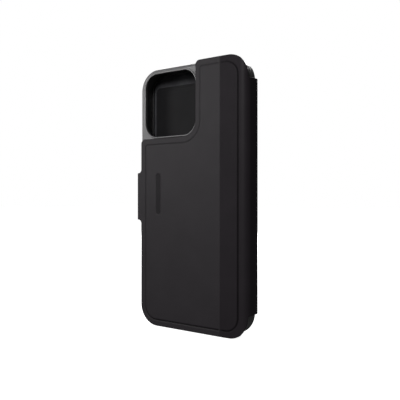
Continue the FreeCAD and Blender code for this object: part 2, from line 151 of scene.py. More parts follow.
# distance along the path is counted so that it is -X on the flat back panel
SHIFT = -TAB_FOLD_X - ENDS[1]
PATH[0] += SHIFT
ENDS = [end + SHIFT for end in ENDS]
LIP_S = PATH[0][0]
TAB_FOLD_S, TAB_ROOT_S, CREASE_S, _, BACK_FOLD_S, SPINE_S, COVER_FOLD_S, COVER_S, FREE_S = ENDS
LIP_FOLD_S = LIP_S + (LIP_Y - LIP_END)
EDGE_S = -TAB_SIDE
NOTCH_S = -NOTCH_X
FLAP = 5.0                                      # how far the panels' corners reach round their folds
BACK_FLAP_S = BACK_FOLD_S + FLAP
COVER_FLAP_S = COVER_S + 0.4                    # the front cover's corners stop at their fold


def on_path(along, up, out):
    """Points in metres, `out` beyond the leather's outer face."""
    x = np.interp(along, PATH[0], PATH[1])
    y = np.interp(along, PATH[0], PATH[2])
    heading = np.interp(along, PATH[0], PATH[3])
    normal = heading - QUARTER
    return np.stack([x + np.cos(normal) * out, y + np.sin(normal) * out, up], axis=1) * MM


# ------------------------------ outlines
OUTLINE_STEP, ARC_SHARE = 0.7, 0.6              # arcs are divided more finely than straight stretches
INSET_SLACK = 0.02                              # an inset point this much too near its line still counts


def rounded(corners, step=OUTLINE_STEP):
    """Closed line through (along, up, rounding) corners, as evenly spaced points."""
    line = []
    count = len(corners)
    for i, (along, up, radius) in enumerate(corners):
        here = np.array([along, up])
        before = np.array(corners[i - 1][:2]) - here
        after = np.array(corners[(i + 1) % count][:2]) - here
        before, after = before / np.linalg.norm(before), after / np.linalg.norm(after)
        if radius <= 0:
            line.append(here)
            continue
        centre = here + (before + after) * radius
        first = here + before * radius - centre
        last = here + after * radius - centre
        start = math.atan2(first[1], first[0])
        sweep = (math.atan2(last[1], last[0]) - start + math.pi) % (2 * math.pi) - math.pi
        pieces = max(4, int(abs(sweep) * radius / (step * ARC_SHARE)))
        for k in range(pieces + 1):
            angle = start + sweep * k / pieces
            line.append(centre + radius * np.array([math.cos(angle), math.sin(angle)]))
    return spaced(np.array(line), step)


def box_outline(stops, radii, step=OUTLINE_STEP):
    """Outline of an upright box: stops are its near and far places along the path, its bottom and its top."""
    near, far, bottom, top = stops
    corners = [(near, bottom), (far, bottom), (far, top), (near, top)]
    return rounded([(*corner, radius) for corner, radius in zip(corners, radii)], step)


def spaced(line, step):
    """The closed line with its long stretches divided."""
    points = []
    for here, there in zip(line, np.roll(line, -1, axis=0)):
        parts = max(1, int(np.linalg.norm(there - here) / step + 0.5))
        for k in range(parts):
            points.append(here + (there - here) * k / parts)
    return np.array(points)


def distance(points, line, closed=True):
    """Distance of each point from a line."""
    starts = line if closed else line[:-1]
    ends = np.roll(line, -1, axis=0) if closed else line[1:]
    steps = ends - starts
    squares = np.maximum((steps ** 2).sum(axis=1), 1e-12)
    best = np.full(len(points), np.inf)
    for start, step, square in zip(starts, steps, squares):
        away = points - start
        share = np.clip((away @ step) / square, 0, 1)
        best = np.minimum(best, ((away - share[:, None] * step) ** 2).sum(axis=1))
    return np.sqrt(best)


def inside(points, line):
    """True for each point within a closed line."""
    odd = np.zeros(len(points), bool)
    for start, end in zip(line, np.roll(line, -1, axis=0)):
        if start[1] == end[1]:
            continue
        crosses = (start[1] > points[:, 1]) != (end[1] > points[:, 1])
        at = start[0] + (points[:, 1] - start[1]) * (end[0] - start[0]) / (end[1] - start[1])
        odd ^= crosses & (points[:, 0] < at)
    return odd


def depth_inside(points, line):
    """Distance inwards from a closed line, negative outside it."""
    return np.where(inside(points, line), 1.0, -1.0) * distance(points, line)


def inset_line(line, depth):
    """The stretches of the closed line moved inwards, as lists of points."""
    along = np.roll(line, -1, axis=0) - np.roll(line, 1, axis=0)
    along /= np.linalg.norm(along, axis=1)[:, None]
    inwards = np.stack([-along[:, 1], along[:, 0]], axis=1)
    moved = line + inwards * depth
    keep = distance(moved, line) > abs(depth) - INSET_SLACK
    stretches, current = [], []
    for point, kept in zip(moved, keep):
        if kept:
            current.append(point)
        elif current:
            stretches.append(current)
            current = []
    if current:
        if stretches and keep[0]:
            stretches[0] = current + stretches[0]
        else:
            stretches.append(current)
    if keep.all():
        stretches[0] = stretches[0] + [stretches[0][0]]
    return stretches


def clipped(line, limit, side):
    """The closed line cut off at along = limit, keeping the part above it (side 1) or below (side -1)."""
    kept = []
    for here, there in zip(line, np.roll(line, -1, axis=0)):
        here_in, there_in = (here[0] - limit) * side >= 0, (there[0] - limit) * side >= 0
        if here_in:
            kept.append(here)
        if here_in != there_in:
            share = (limit - here[0]) / (there[0] - here[0])
            kept.append(here + (there - here) * share)
    return np.array(kept)


# ------------------------------ meshes
UNROLLED = "unrolled"                           # place on the flat blank, so that finishes stay put in a fold
CUT_STEP, ROW_STEP = 1.5, 1.5
RING_CLEAR = 0.5                                # from the innermost ring to the loose points inside it
SHARP_ANGLE = math.radians(38)


def new_object(name, vertices, faces, finish):
    """A smooth-shaded piece with one finish, and sharp edges where its faces turn sharply."""
    mesh = bpy.data.meshes.new(name)
    mesh.from_pydata([tuple(v) for v in vertices], [], faces)
    mesh.validate()
    mesh.shade_smooth()
    mesh.set_sharp_from_angle(angle=SHARP_ANGLE)
    mesh.materials.append(finish)
    piece = bpy.data.objects.new(name, mesh)
    bpy.context.scene.collection.objects.link(piece)
    return piece


def triangulate(outline, lines, points):
    """Triangles inside the closed outline that keep to the given lines and points."""
    places = [Vector(p) for p in outline]
    edges = [(i, (i + 1) % len(outline)) for i in range(len(outline))]
    for line in lines:
        base = len(places)
        places += [Vector(p) for p in line]
        edges += [(base + i, base + i + 1) for i in range(len(line) - 1)]
    places += [Vector(p) for p in points]
    found, _, triangles, _, _, _ = delaunay_2d_cdt(places, edges, [], 1, 1e-4)
    return np.array([tuple(p) for p in found]), [tuple(t) for t in triangles]


def sheet(name, outline, finish, outer, inner, rings, lines=(), rows=(), grid=2.5, cuts=(None, None)):
    """A closed piece that follows the path. outer and inner give its two faces' places beyond the path's
    line, from the distance along it, the height and the depth inside the outline.

    The mesh keeps a line at each of the rings, which are depths, and at each of the rows, which are places
    along the path. cuts are where the piece is cut off to meet its neighbours.
    """
    area = outline
    for limit, side in zip(cuts, (1, -1)):
        if limit is not None:
            area = spaced(clipped(area, limit, side), CUT_STEP)
    kept = []
    for ring in rings:
        kept += inset_line(outline, ring)
    kept += [list(line) for line in lines]
    lowest, highest = area.min(axis=0), area.max(axis=0)
    heights = np.arange(lowest[1], highest[1], ROW_STEP)
    for row in rows:
        kept.append([np.array([row, up]) for up in heights])
    kept = trimmed(kept, area)
    across, up = np.meshgrid(np.arange(lowest[0], highest[0], grid), np.arange(lowest[1], highest[1], grid))
    across[1::2] += grid / 2
    points = np.stack([across.ravel(), up.ravel()], axis=1)
    points = points[depth_inside(points, area) > max(rings) + RING_CLEAR]
    flat, triangles = triangulate(area, kept, points)
    depth = np.maximum(depth_inside(flat, outline), 0.0)
    along, height = flat[:, 0], flat[:, 1]
    pressed = outer(along, height, depth)
    outer_face = on_path(along, height, pressed)
    inner_face = on_path(along, height, inner(along, height, depth))
    piece = new_object(name, *closed(outer_face, inner_face, triangles), finish)
    places = np.stack([along, height, np.zeros(len(along))], axis=1) * MM
    places[:, 2] = np.minimum(pressed + edge_drop(depth), 0) * MM
    places = np.concatenate([places, places])
    unrolled = piece.data.attributes.new(UNROLLED, "FLOAT_VECTOR", "POINT")
    unrolled.data.foreach_set("vector", places.astype(np.float32).ravel())
    return piece


def trimmed(lines, area, margin=0.03):
    """The parts of the lines that lie inside the area."""
    parts = []
    for line in lines:
        line = np.array(line)
        keep = depth_inside(line, area) > margin
        current = []
        for point, kept in zip(line, keep):
            if kept:
                current.append(point)
                continue
            parts.append(current)
            current = []
        parts.append(current)
    return [part for part in parts if len(part) > 1]


def closed(outer_face, inner_face, triangles):
    """Vertices and faces of the solid between two faces with the same triangles."""
    count = len(outer_face)
    vertices = np.concatenate([outer_face, inner_face])
    faces, directed = [], set()
    for a, b, c in triangles:
        faces.append((c, b, a))
        faces.append((a + count, b + count, c + count))
        directed.update(((a, b), (b, c), (c, a)))
    for a, b in directed:
        if (b, a) not in directed:
            faces.append((a, b, b + count, a + count))
    return vertices, faces


# ------------------------------ materials
def material(name):
    """An empty node material, with its nodes and links."""
    made = bpy.data.materials.new(name)
    made.use_nodes = True
    made.node_tree.nodes.clear()
    return made, made.node_tree.nodes, made.node_tree.links


def texture_place(nodes, links, scale=(1, 1, 1)):
    """Place in the piece's own frame, stretched by the scale."""
    place = nodes.new("ShaderNodeTexCoord")
    mapping = nodes.new("ShaderNodeMapping")
    mapping.inputs["Scale"].default_value = scale
    links.new(place.outputs["Object"], mapping.inputs["Vector"])
    return mapping.outputs["Vector"]


def unrolled_place(nodes):
    """Place on the flat blank, with the press depth as its third part."""
    place = nodes.new("ShaderNodeAttribute")
    place.attribute_name = UNROLLED
    return place.outputs["Vector"]


def noise(nodes, links, place, size, detail=3.0, rough=0.55):
    """Noise whose features are about `size` millimetres."""
    made = nodes.new("ShaderNodeTexNoise")
    made.inputs["Scale"].default_value = 1.0 / (size * MM)
    made.inputs["Detail"].default_value = detail
    made.inputs["Roughness"].default_value = rough
    links.new(place, made.inputs["Vector"])
    return made.outputs["Fac"]


def ramp(nodes, links, factor, stops):
    """Colour ramp; each stop is (place, grey or colour)."""
    made = nodes.new("ShaderNodeValToRGB")
    elements = made.color_ramp.elements
    while len(elements) < len(stops):
        elements.new(0.5)
    for element, (where, colour) in zip(elements, stops):
        element.position = where
        element.color = (*colour, 1) if isinstance(colour, tuple) else (colour, colour, colour, 1)
    links.new(factor, made.inputs["Fac"])
    return made.outputs["Color"]


def bump(nodes, links, height, strength, distance_mm, before=None):
    """Normal that follows the height, on top of the one before."""
    made = nodes.new("ShaderNodeBump")
    made.inputs["Strength"].default_value = strength
    made.inputs["Distance"].default_value = distance_mm * MM
    links.new(height, made.inputs["Height"])
    if before is not None:
        links.new(before, made.inputs["Normal"])
    return made.outputs["Normal"]


def principled(nodes, links, **values):
    """The surface; each value is a number or the socket that drives it."""
    shader = nodes.new("ShaderNodeBsdfPrincipled")
    end = nodes.new("ShaderNodeOutputMaterial")
    links.new(shader.outputs["BSDF"], end.inputs["Surface"])
    for name, value in values.items():
        socket = shader.inputs[name.replace("_", " ")]
        if isinstance(value, bpy.types.NodeSocket):
            links.new(value, socket)
        else:
            socket.default_value = value
    return shader


def product(nodes, links, first, second):
    """Two values multiplied, each a number or a socket."""
    made = nodes.new("ShaderNodeMath")
    made.operation = "MULTIPLY"
    for socket, value in zip(made.inputs, (first, second)):
        if isinstance(value, bpy.types.NodeSocket):
            links.new(value, socket)
        else:
            socket.default_value = value
    return made.outputs[0]


def tinted(nodes, links, colour, tone):
    """The colour multiplied by a tone."""
    made = nodes.new("ShaderNodeVectorMath")
    made.operation = "MULTIPLY"
    links.new(colour, made.inputs[0])
    links.new(tone, made.inputs[1])
    return made.outputs[0]


def share_along(nodes, links, place, axis, start, end):
    """How far a place is along one axis, from 0 at start to 1 at end."""
    parts = nodes.new("ShaderNodeSeparateXYZ")
    links.new(place, parts.inputs[0])
    share = nodes.new("ShaderNodeMapRange")
    share.inputs["From Min"].default_value = start * MM
    share.inputs["From Max"].default_value = end * MM
    links.new(parts.outputs[axis], share.inputs["Value"])
    return share.outputs["Result"]


def strip_painted_shade_and_dulling(nodes, links, place, shade):
    """Painted shade: the leather's colour is a little darker, and its gloss duller, from the crease round the
    spine to the front cover.
    """
    spare, sharp = 5.0, 0.3                     # the shade starts sharply at the crease
    fade_start, fade_end = 8.0, 3.0             # and fades out before the end of the ramp
    share = share_along(nodes, links, place, "X", CREASE_S - spare, COVER_S + spare)
    whole = COVER_S - CREASE_S + 2 * spare
    stops = [(0, 1.0), ((spare - sharp) / whole, 1.0), ((spare + sharp) / whole, shade),
             (1 - fade_start / whole, shade), (1 - fade_end / whole, 1.0)]
    return ramp(nodes, links, share, stops)


def groove_burnish_and_painted_shade(nodes, links, place):
    """Grooves are darker the deeper they go: partly the burnishing of heat-pressed leather, partly painted
    shade in the hollows.
    """
    share = share_along(nodes, links, place, "Z", -GROOVE_DEEP, 0)
    return ramp(nodes, links, share, [(0, GROOVE_BURNISH_AND_PAINTED_SHADE), (0.5, 0.6), (1.0, 1.0)])


def leather_material(name="smooth_leather", dark=(0.0178, 0.0152, 0.0178), light=(0.0208, 0.0178, 0.0208)):
    """Smooth matte leather: fine pebble, faint pores, slow changes of tone and gloss, and painted shade
    beyond the crease and in the grooves.
    """
    made, nodes, links = material(name)
    place = unrolled_place(nodes)
    pebble = nodes.new("ShaderNodeTexVoronoi")
    pebble.feature = "SMOOTH_F1"
    pebble_size = 0.45
    pebble.inputs["Scale"].default_value = 1 / (pebble_size * MM)
    links.new(place, pebble.inputs["Vector"])
    fine = noise(nodes, links, place, size=0.25, detail=4)
    broad = noise(nodes, links, place, size=18, detail=2)
    normal = bump(nodes, links, pebble.outputs["Distance"], strength=0.16, distance_mm=0.03)
    normal = bump(nodes, links, fine, strength=0.12, distance_mm=0.02, before=normal)
    colour = ramp(nodes, links, broad, [(0.3, dark), (0.7, light)])
    rough = ramp(nodes, links, fine, [(0.2, 0.47), (0.8, 0.56)])
    # painted shade in the grooves, together with their real burnishing
    pressed = groove_burnish_and_painted_shade(nodes, links, place)
    # the tone carries painted shade beyond the crease and in the grooves
    tone = product(nodes, links, strip_painted_shade_and_dulling(nodes, links, place, STRIP_PAINTED_SHADE), pressed)
    dull = product(nodes, links, strip_painted_shade_and_dulling(nodes, links, place, STRIP_GLOSS), pressed)
    principled(nodes, links, Base_Color=tinted(nodes, links, colour, tone), Roughness=rough, Normal=normal,
               Specular_IOR_Level=product(nodes, links, dull, LEATHER_GLOSS))
    return made


def microfibre_material():
    """Short-napped lining cloth: soft mottled tone, sheen and fuzzy bump."""
    made, nodes, links = material("microfibre")
    place = texture_place(nodes, links)
    nap = noise(nodes, links, place, size=0.18, detail=5, rough=0.7)
    patches = noise(nodes, links, place, size=7)
    normal = bump(nodes, links, nap, strength=0.5, distance_mm=0.08)
    colour = ramp(nodes, links, patches, [(0.3, (0.030, 0.030, 0.033)), (0.7, (0.045, 0.045, 0.049))])
    principled(nodes, links, Base_Color=colour, Roughness=0.95, Normal=normal, Sheen_Weight=0.25,
               Sheen_Roughness=0.4, Specular_IOR_Level=0.15)
    return made


def painted_recess_shade(nodes, links, reach, stops):
    """Painted shade: tone that falls where other parts stand close by."""
    near = nodes.new("ShaderNodeAmbientOcclusion")
    near.inputs["Distance"].default_value = reach * MM
    near.samples = 8
    return ramp(nodes, links, near.outputs["AO"], stops)


def plastic_material(name, dark, light, rough, coat=0.0, clear=0.0, painted_side_shade=1.0):
    """Moulded plastic: faint flow mottling and a fine texture. A side shade under 1 paints shade on its side
    walls and near other parts.
    """
    made, nodes, links = material(name)
    place = texture_place(nodes, links)
    flow = noise(nodes, links, place, size=12, detail=2)
    fine = noise(nodes, links, place, size=0.12)
    normal = bump(nodes, links, fine, strength=0.05, distance_mm=0.02)
    colour = ramp(nodes, links, flow, [(0.3, dark), (0.7, light)])
    if painted_side_shade < 1:
        # painted shade: side walls, turned away from the back, are darkened
        facing = nodes.new("ShaderNodeSeparateXYZ")
        links.new(nodes.new("ShaderNodeTexCoord").outputs["Normal"], facing.inputs[0])
        turned = ramp(nodes, links, facing.outputs["Y"], [(0.3, painted_side_shade), (0.95, 1.0)])
        colour = tinted(nodes, links, colour, turned)
        # painted shade where other parts stand close, from ambient occlusion
        painted_near_shade = painted_recess_shade(nodes, links, reach=5, stops=[(0.55, 0.05), (0.9, 1.0)])
        colour = tinted(nodes, links, colour, painted_near_shade)
    gloss = ramp(nodes, links, fine, [(0.2, rough - 0.03), (0.8, rough + 0.05)])
    principled(nodes, links, Base_Color=colour, Roughness=gloss, Normal=normal, Coat_Weight=coat,
               Coat_Roughness=0.08, Transmission_Weight=clear, IOR=1.5)
    return made


def metal_material(name, tone, rough):
    """Rolled or plated metal with fine drawn lines."""
    made, nodes, links = material(name)
    place = texture_place(nodes, links, (1, 1, 18))
    lines = noise(nodes, links, place, size=0.8)
    colour = ramp(nodes, links, lines, [(0.3, tuple(0.85 * c for c in tone)), (0.7, tone)])
    gloss = ramp(nodes, links, lines, [(0.2, rough - 0.05), (0.8, rough + 0.08)])
    normal = bump(nodes, links, lines, strength=0.08, distance_mm=0.02)
    principled(nodes, links, Base_Color=colour, Roughness=gloss, Metallic=1.0, Normal=normal)
    return made


def board_material():
    """Pressed fibre board."""
    made, nodes, links = material("fibre_board")
    place = texture_place(nodes, links, (1, 1, 0.3))
    fibres = noise(nodes, links, place, size=0.5, detail=5, rough=0.7)
    colour = ramp(nodes, links, fibres, [(0.3, (0.16, 0.13, 0.10)), (0.7, (0.27, 0.23, 0.18))])
    normal = bump(nodes, links, fibres, strength=0.3, distance_mm=0.05)
    principled(nodes, links, Base_Color=colour, Roughness=0.85, Normal=normal)
    return made


def foam_material():
    """Foam adhesive sheet."""
    made, nodes, links = material("bond_foam")
    place = texture_place(nodes, links)
    cells = noise(nodes, links, place, size=0.3, detail=4, rough=0.7)
    colour = ramp(nodes, links, cells, [(0.3, (0.45, 0.43, 0.38)), (0.7, (0.6, 0.58, 0.52))])
    normal = bump(nodes, links, cells, strength=0.3, distance_mm=0.05)
    principled(nodes, links, Base_Color=colour, Roughness=0.7, Normal=normal)
    return made


# ------------------------------ the leather, as one blank wrapped round the case
CORNER = 12.0                                   # the panels' own corners
NOTCH_OUTER, NOTCH_INNER = 2.7, 9.0             # the camera corner's notch: its outer and inner corners
SLIT = 0.5                                      # where a panel's corner leaves the spine
WEB, LIP_CORNER = 2.2, 5.0                      # where the tab leaves the panel, and its far corners
BLANK = rounded([
    (EDGE_S, -PANEL_Z, CORNER), (BACK_FLAP_S, -PANEL_Z, CORNER), (BACK_FLAP_S, -SPINE_Z, SLIT),
    (COVER_FLAP_S, -SPINE_Z, SLIT), (COVER_FLAP_S, -PANEL_Z, CORNER), (FREE_S, -PANEL_Z, CORNER),
    (FREE_S, PANEL_Z, CORNER), (COVER_FLAP_S, PANEL_Z, CORNER), (COVER_FLAP_S, SPINE_Z, SLIT),
    (BACK_FLAP_S, SPINE_Z, SLIT), (BACK_FLAP_S, PANEL_Z, CORNER), (NOTCH_S, PANEL_Z, NOTCH_OUTER),
    (NOTCH_S, NOTCH_Z, NOTCH_INNER), (EDGE_S, NOTCH_Z, NOTCH_OUTER), (EDGE_S, TAB_Z, WEB),
    (LIP_S, TAB_Z, LIP_CORNER), (LIP_S, -TAB_Z, LIP_CORNER), (EDGE_S, -TAB_Z, WEB),
])
# embossed groove, drawn in from the panel's edges, and the same on the front cover
GROOVE_EDGE, GROOVE_PAST, GROOVE_NOTCH = 3.65, 1.15, 3.2
GROOVE_CORNER, GROOVE_FREE_CORNER, GROOVE_TIP = 7.8, 8.4, 1.5
GROOVE_SPINE_S = -STRIP_FAR_X - GROOVE_PAST
COVER_GROOVE_S = COVER_S + GROOVE_PAST
BACK_GROOVE = rounded([
    (EDGE_S + GROOVE_EDGE, -PANEL_Z + GROOVE_EDGE, GROOVE_CORNER),
    (GROOVE_SPINE_S, -PANEL_Z + GROOVE_EDGE, GROOVE_CORNER),
    (GROOVE_SPINE_S, PANEL_Z - GROOVE_EDGE, GROOVE_CORNER),
    (NOTCH_S + GROOVE_NOTCH, PANEL_Z - GROOVE_EDGE, GROOVE_TIP),
    (NOTCH_S + GROOVE_NOTCH, NOTCH_Z - GROOVE_EDGE, NOTCH_INNER + 3),
    (EDGE_S + GROOVE_EDGE, NOTCH_Z - GROOVE_EDGE, GROOVE_TIP),
])
COVER_GROOVE = box_outline(
    (COVER_GROOVE_S, FREE_S - GROOVE_EDGE, -PANEL_Z + GROOVE_EDGE, PANEL_Z - GROOVE_EDGE),
    (GROOVE_CORNER, GROOVE_FREE_CORNER, GROOVE_FREE_CORNER, GROOVE_CORNER))
GROOVE_DEEP, GROOVE_SHALLOW = 0.26, 0.42        # depth, and the share of it where the groove is shallow
GROOVE_HALF, GROOVE_HALF_SPINE = 0.75, 1.0      # half its width, and the same along the spine
GROOVE_LINES = [quarter / 4 for quarter in range(-4, 5)]
# blank debossed bar on the back panel, upright near the tab
BAR_S, BAR_Z, BAR_HALF, BAR_ROUND = EDGE_S + 13.4, 1.4, 12.0, 1.7
BAR_DEEP, BAR_WALL, BAR_STEP = 0.13, 0.35, 0.4
BAR = box_outline((BAR_S - BAR_ROUND, BAR_S + BAR_ROUND, BAR_Z - BAR_HALF, BAR_Z + BAR_HALF), [BAR_ROUND] * 4,
                  BAR_STEP)
BAR_LINES = (-0.6, -0.17, 0.0, 0.17, 0.5)
EDGE_ROUND = 0.42
EDGE_RINGS = (0.03, 0.1, 0.22, EDGE_ROUND, TURNED, TURNED + 0.05)
CREASE_ROWS = [CREASE_S + offset for offset in (-0.9, -0.45, -0.25, -0.1, 0.0, 0.1, 0.25, 0.45, 0.9)]
CREASE_DEEP, CREASE_HALF, CREASE_GAP = 0.05, 0.5, 1.3   # the groove fades out over the gap beside the crease
SPINE_REACH = 1.2                               # within this of its spine side the groove is wider


def edge_drop(depth):
    """How far the outer face falls towards its rounded edge."""
    near = np.clip(EDGE_ROUND - depth, 0, EDGE_ROUND)
    return EDGE_ROUND - np.sqrt(np.maximum(EDGE_ROUND ** 2 - near ** 2, 0))


def groove_drop(along, up, line, spine_s):
    """Depth of the embossed groove: widest along the spine, deep there and at the bottom, else shallow."""
    half = np.where(np.abs(along - spine_s) < SPINE_REACH, GROOVE_HALF_SPINE, GROOVE_HALF)
    away = distance(np.stack([along, up], axis=1), line)
    near_spine = np.clip(1 - np.abs(along - spine_s) / GROOVE_CORNER, 0, 1)
    near_bottom = np.clip((-PANEL_Z + GROOVE_EDGE + GROOVE_CORNER - up) / GROOVE_CORNER, 0, 1)
    deep = GROOVE_DEEP * (GROOVE_SHALLOW + (1 - GROOVE_SHALLOW) * np.maximum(near_spine, near_bottom))
    return deep * 0.5 * (1 + np.cos(np.pi * np.clip(away / half, 0, 1)))


def back_outer(along, up, depth):
    """Outer face of the back panel's leather."""
    drop = edge_drop(depth)
    broken = np.clip(np.abs(along - CREASE_S) / CREASE_GAP, 0, 1)
    drop = drop + groove_drop(along, up, BACK_GROOVE, GROOVE_SPINE_S) * broken
    drop = drop + CREASE_DEEP * np.clip(1 - np.abs(along - CREASE_S) / CREASE_HALF, 0, 1)
    bar = depth_inside(np.stack([along, up], axis=1), BAR)
    drop = drop + BAR_DEEP * np.clip(bar / BAR_WALL + 0.5, 0, 1)
    return -drop


def cover_outer(along, up, depth):
    """Outer face of the front cover's leather."""
    return -edge_drop(depth) - groove_drop(along, up, COVER_GROOVE, COVER_GROOVE_S)


def plain_outer(along, up, depth):
    """Outer face of the tab's and lip's leather."""
    return -edge_drop(depth)


def smooth_steps(along, stops):
    """Value along the path that changes from stop to stop."""
    return np.interp(along, [where for where, _ in stops], [value for _, value in stops])


# depth of the leather's turned edge, and of the lining under it, along the path
STRIP_FALL = STRIP_LONG * math.sin(STRIP_TILT)
PANEL_DEEP, SPINE_DEEP, COVER_DEEP = SKIN + BACK_STIFF, SKIN + SPINE_STIFF, SKIN + COVER_STIFF
FOLD_DEEP = SKIN + 0.1                          # thin in the cover's fold, to clear the shell when open
LINING_STOPS = [
    (LIP_S, PANEL_DEEP), (CREASE_S, PANEL_DEEP), (BACK_FOLD_S - 0.6, PANEL_DEEP - STRIP_FALL),
    (BACK_FOLD_S + 1.5, SPINE_DEEP), (COVER_FOLD_S, SPINE_DEEP), (COVER_FOLD_S + 0.8, FOLD_DEEP),
    (COVER_S - 0.6, FOLD_DEEP), (COVER_S + 0.4, COVER_DEEP), (FREE_S, COVER_DEEP),
]
BOARD_SLACK = 0.01                              # between the leather and the boards
RIM_WALL = 0.02                                 # width of the slope from the hollow to the turned edge


def leather_inner(along, up, depth):
    """Inner face: the turned edge reaches to the lining, and the boards lie in the hollow within it."""
    rim = smooth_steps(along, LINING_STOPS)
    fall = np.clip((along - CREASE_S) / (BACK_FOLD_S - CREASE_S), 0, 1) * STRIP_FALL
    strip = (along < BACK_FOLD_S - TURNED) & (along > CREASE_S)
    hollow = np.where(strip, SKIN - fall, SKIN) - BOARD_SLACK
    flat = (along < BACK_FOLD_S - TURNED) | (along > COVER_S + TURNED)
    flat |= (along > SPINE_S) & (along < COVER_FOLD_S)
    return -np.where((depth > TURNED + RIM_WALL) & flat, hollow, rim)


def rows_between(start, end, step):
    """Evenly spaced places from start to end, about a step apart."""
    count = max(2, int((end - start) / step) + 1)
    return list(np.linspace(start, end, count))


def around(line, offsets):
    """Lines beside a closed line."""
    found = []
    for offset in offsets:
        if abs(offset) < 1e-6:
            found.append(list(line) + [line[0]])
        else:
            found += inset_line(line, offset)
    return found


SPINE_MIDDLE_S = (SPINE_S + COVER_FOLD_S) / 2
TAB_SEAM_S = (EDGE_S + TAB_ROOT_S) / 2
TAB_WALL_S = (LIP_FOLD_S + TAB_FOLD_S) / 2


# how far a bend would reach either side of its joint, the cover's short so that the lining clears the shell;
# bend reads but does not use them
BEND_REACH, COVER_REACH = 2.2, 1.1
LIP_BEND, LIP_RIM = 1.2, 1.6                    # the lip's bend, and the finer mesh round it
# for each fold: the bodies before and after it, where it starts and ends, and its reach
FOLDS = {
    "back_fold": ("shell_and_back", "spine", BACK_FOLD_S, SPINE_S, BEND_REACH),
    "cover_fold": ("spine", "cover", COVER_FOLD_S, COVER_S, COVER_REACH),
    "tab_root_fold": ("tab", "shell_and_back", TAB_FOLD_S, TAB_ROOT_S, BEND_REACH),
    "tab_lip_fold": ("lip", "tab", LIP_FOLD_S - LIP_BEND, LIP_FOLD_S + LIP_BEND, BEND_REACH),
}
LEATHER_STEP, CLOTH_STEP, TAB_STEP, LIP_STEP = 0.35, 0.5, 0.3, 0.2     # between the mesh's lines in the folds
SEAM_ROW = 1.0                                  # from a seam to the mesh's first line beside it
LIP_ROWS = rows_between(LIP_FOLD_S - LIP_RIM, LIP_FOLD_S + LIP_RIM, LIP_STEP)
TAB_ROWS = rows_between(TAB_FOLD_S, TAB_ROOT_S, TAB_STEP)


def bend(piece, joint):
    """Bake the piece's placing into its mesh. The fold's ends along the path are found, but the piece is not
    bent.
    """
    first, second, start_s, end_s, reach = FOLDS[joint]
    ends = on_path(np.array([start_s, end_s]), np.zeros(2), np.zeros(2))
    way = ends[1] - ends[0]
    way /= np.linalg.norm(way)
    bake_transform(piece)


def folded_sheet(name, nodes, joint, slot, **shape):
    """A sheet that stands for the nodes; it is not bent over the joint."""
    piece = sheet(name, **shape)
    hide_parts(*nodes)
    bend(piece, joint)


def make_leather():
    """Outer leather in four pieces that meet in flat places: back with half the spine, cover, tab and lip."""
    blank = {"outline": BLANK, "finish": LEATHER, "inner": leather_inner, "rings": EDGE_RINGS}
    rows = CREASE_ROWS + rows_between(BACK_FOLD_S, SPINE_S, LEATHER_STEP)
    rows += [BACK_FOLD_S - TURNED - RIM_WALL, BACK_FOLD_S - TURNED + RIM_WALL, SPINE_MIDDLE_S - SEAM_ROW]
    folded_sheet("back_leather", ("back_skin", "spine_skin"), "back_fold", "leather", outer=back_outer,
                 lines=around(BACK_GROOVE, GROOVE_LINES) + around(BAR, BAR_LINES), rows=rows,
                 cuts=(TAB_SEAM_S, SPINE_MIDDLE_S), **blank)
    rows = rows_between(COVER_FOLD_S, COVER_S, LEATHER_STEP)
    rows += [SPINE_MIDDLE_S + SEAM_ROW, COVER_S + TURNED - RIM_WALL, COVER_S + TURNED + RIM_WALL]
    folded_sheet("cover_leather", ("cover_skin",), "cover_fold", "leather", outer=cover_outer,
                 lines=around(COVER_GROOVE, GROOVE_LINES), rows=rows, cuts=(SPINE_MIDDLE_S, None), **blank)
    folded_sheet("tab_leather", ("tab_skin",), "tab_root_fold", "leather", outer=plain_outer,
                 rows=TAB_ROWS + [TAB_WALL_S + SEAM_ROW], grid=1.5, cuts=(TAB_WALL_S, TAB_SEAM_S), **blank)
    folded_sheet("lip_leather", ("lip_skin",), "tab_lip_fold", "leather", outer=plain_outer,
                 rows=LIP_ROWS + [TAB_WALL_S - SEAM_ROW], grid=1.5, cuts=(None, TAB_WALL_S), **blank)


# ------------------------------ linings and pockets
LINING_GAP = 0.35                               # from the leather's edge in to the lining's
LINING_SLACK = 0.02                             # between the leather or the boards and the lining
LINING_THIN, LINING_RIM = 0.12, 0.25            # the lining thins by this over this much of its edge


def lining_outer(along, up, depth):
    """The lining's face against the leather."""
    return -smooth_steps(along, LINING_STOPS) - LINING_SLACK


def lining_inner(along, up, depth):
    """The lining's napped face."""
    thinned = LINING_THIN * np.clip(1 - depth / LINING_RIM, 0, 1)
    return -smooth_steps(along, LINING_STOPS) - LINING + thinned


def inset_outline(line, depth):
    """The closed line moved inwards, as one outline."""
    return np.array([point for part in inset_line(line, depth) for point in part[:-1]])


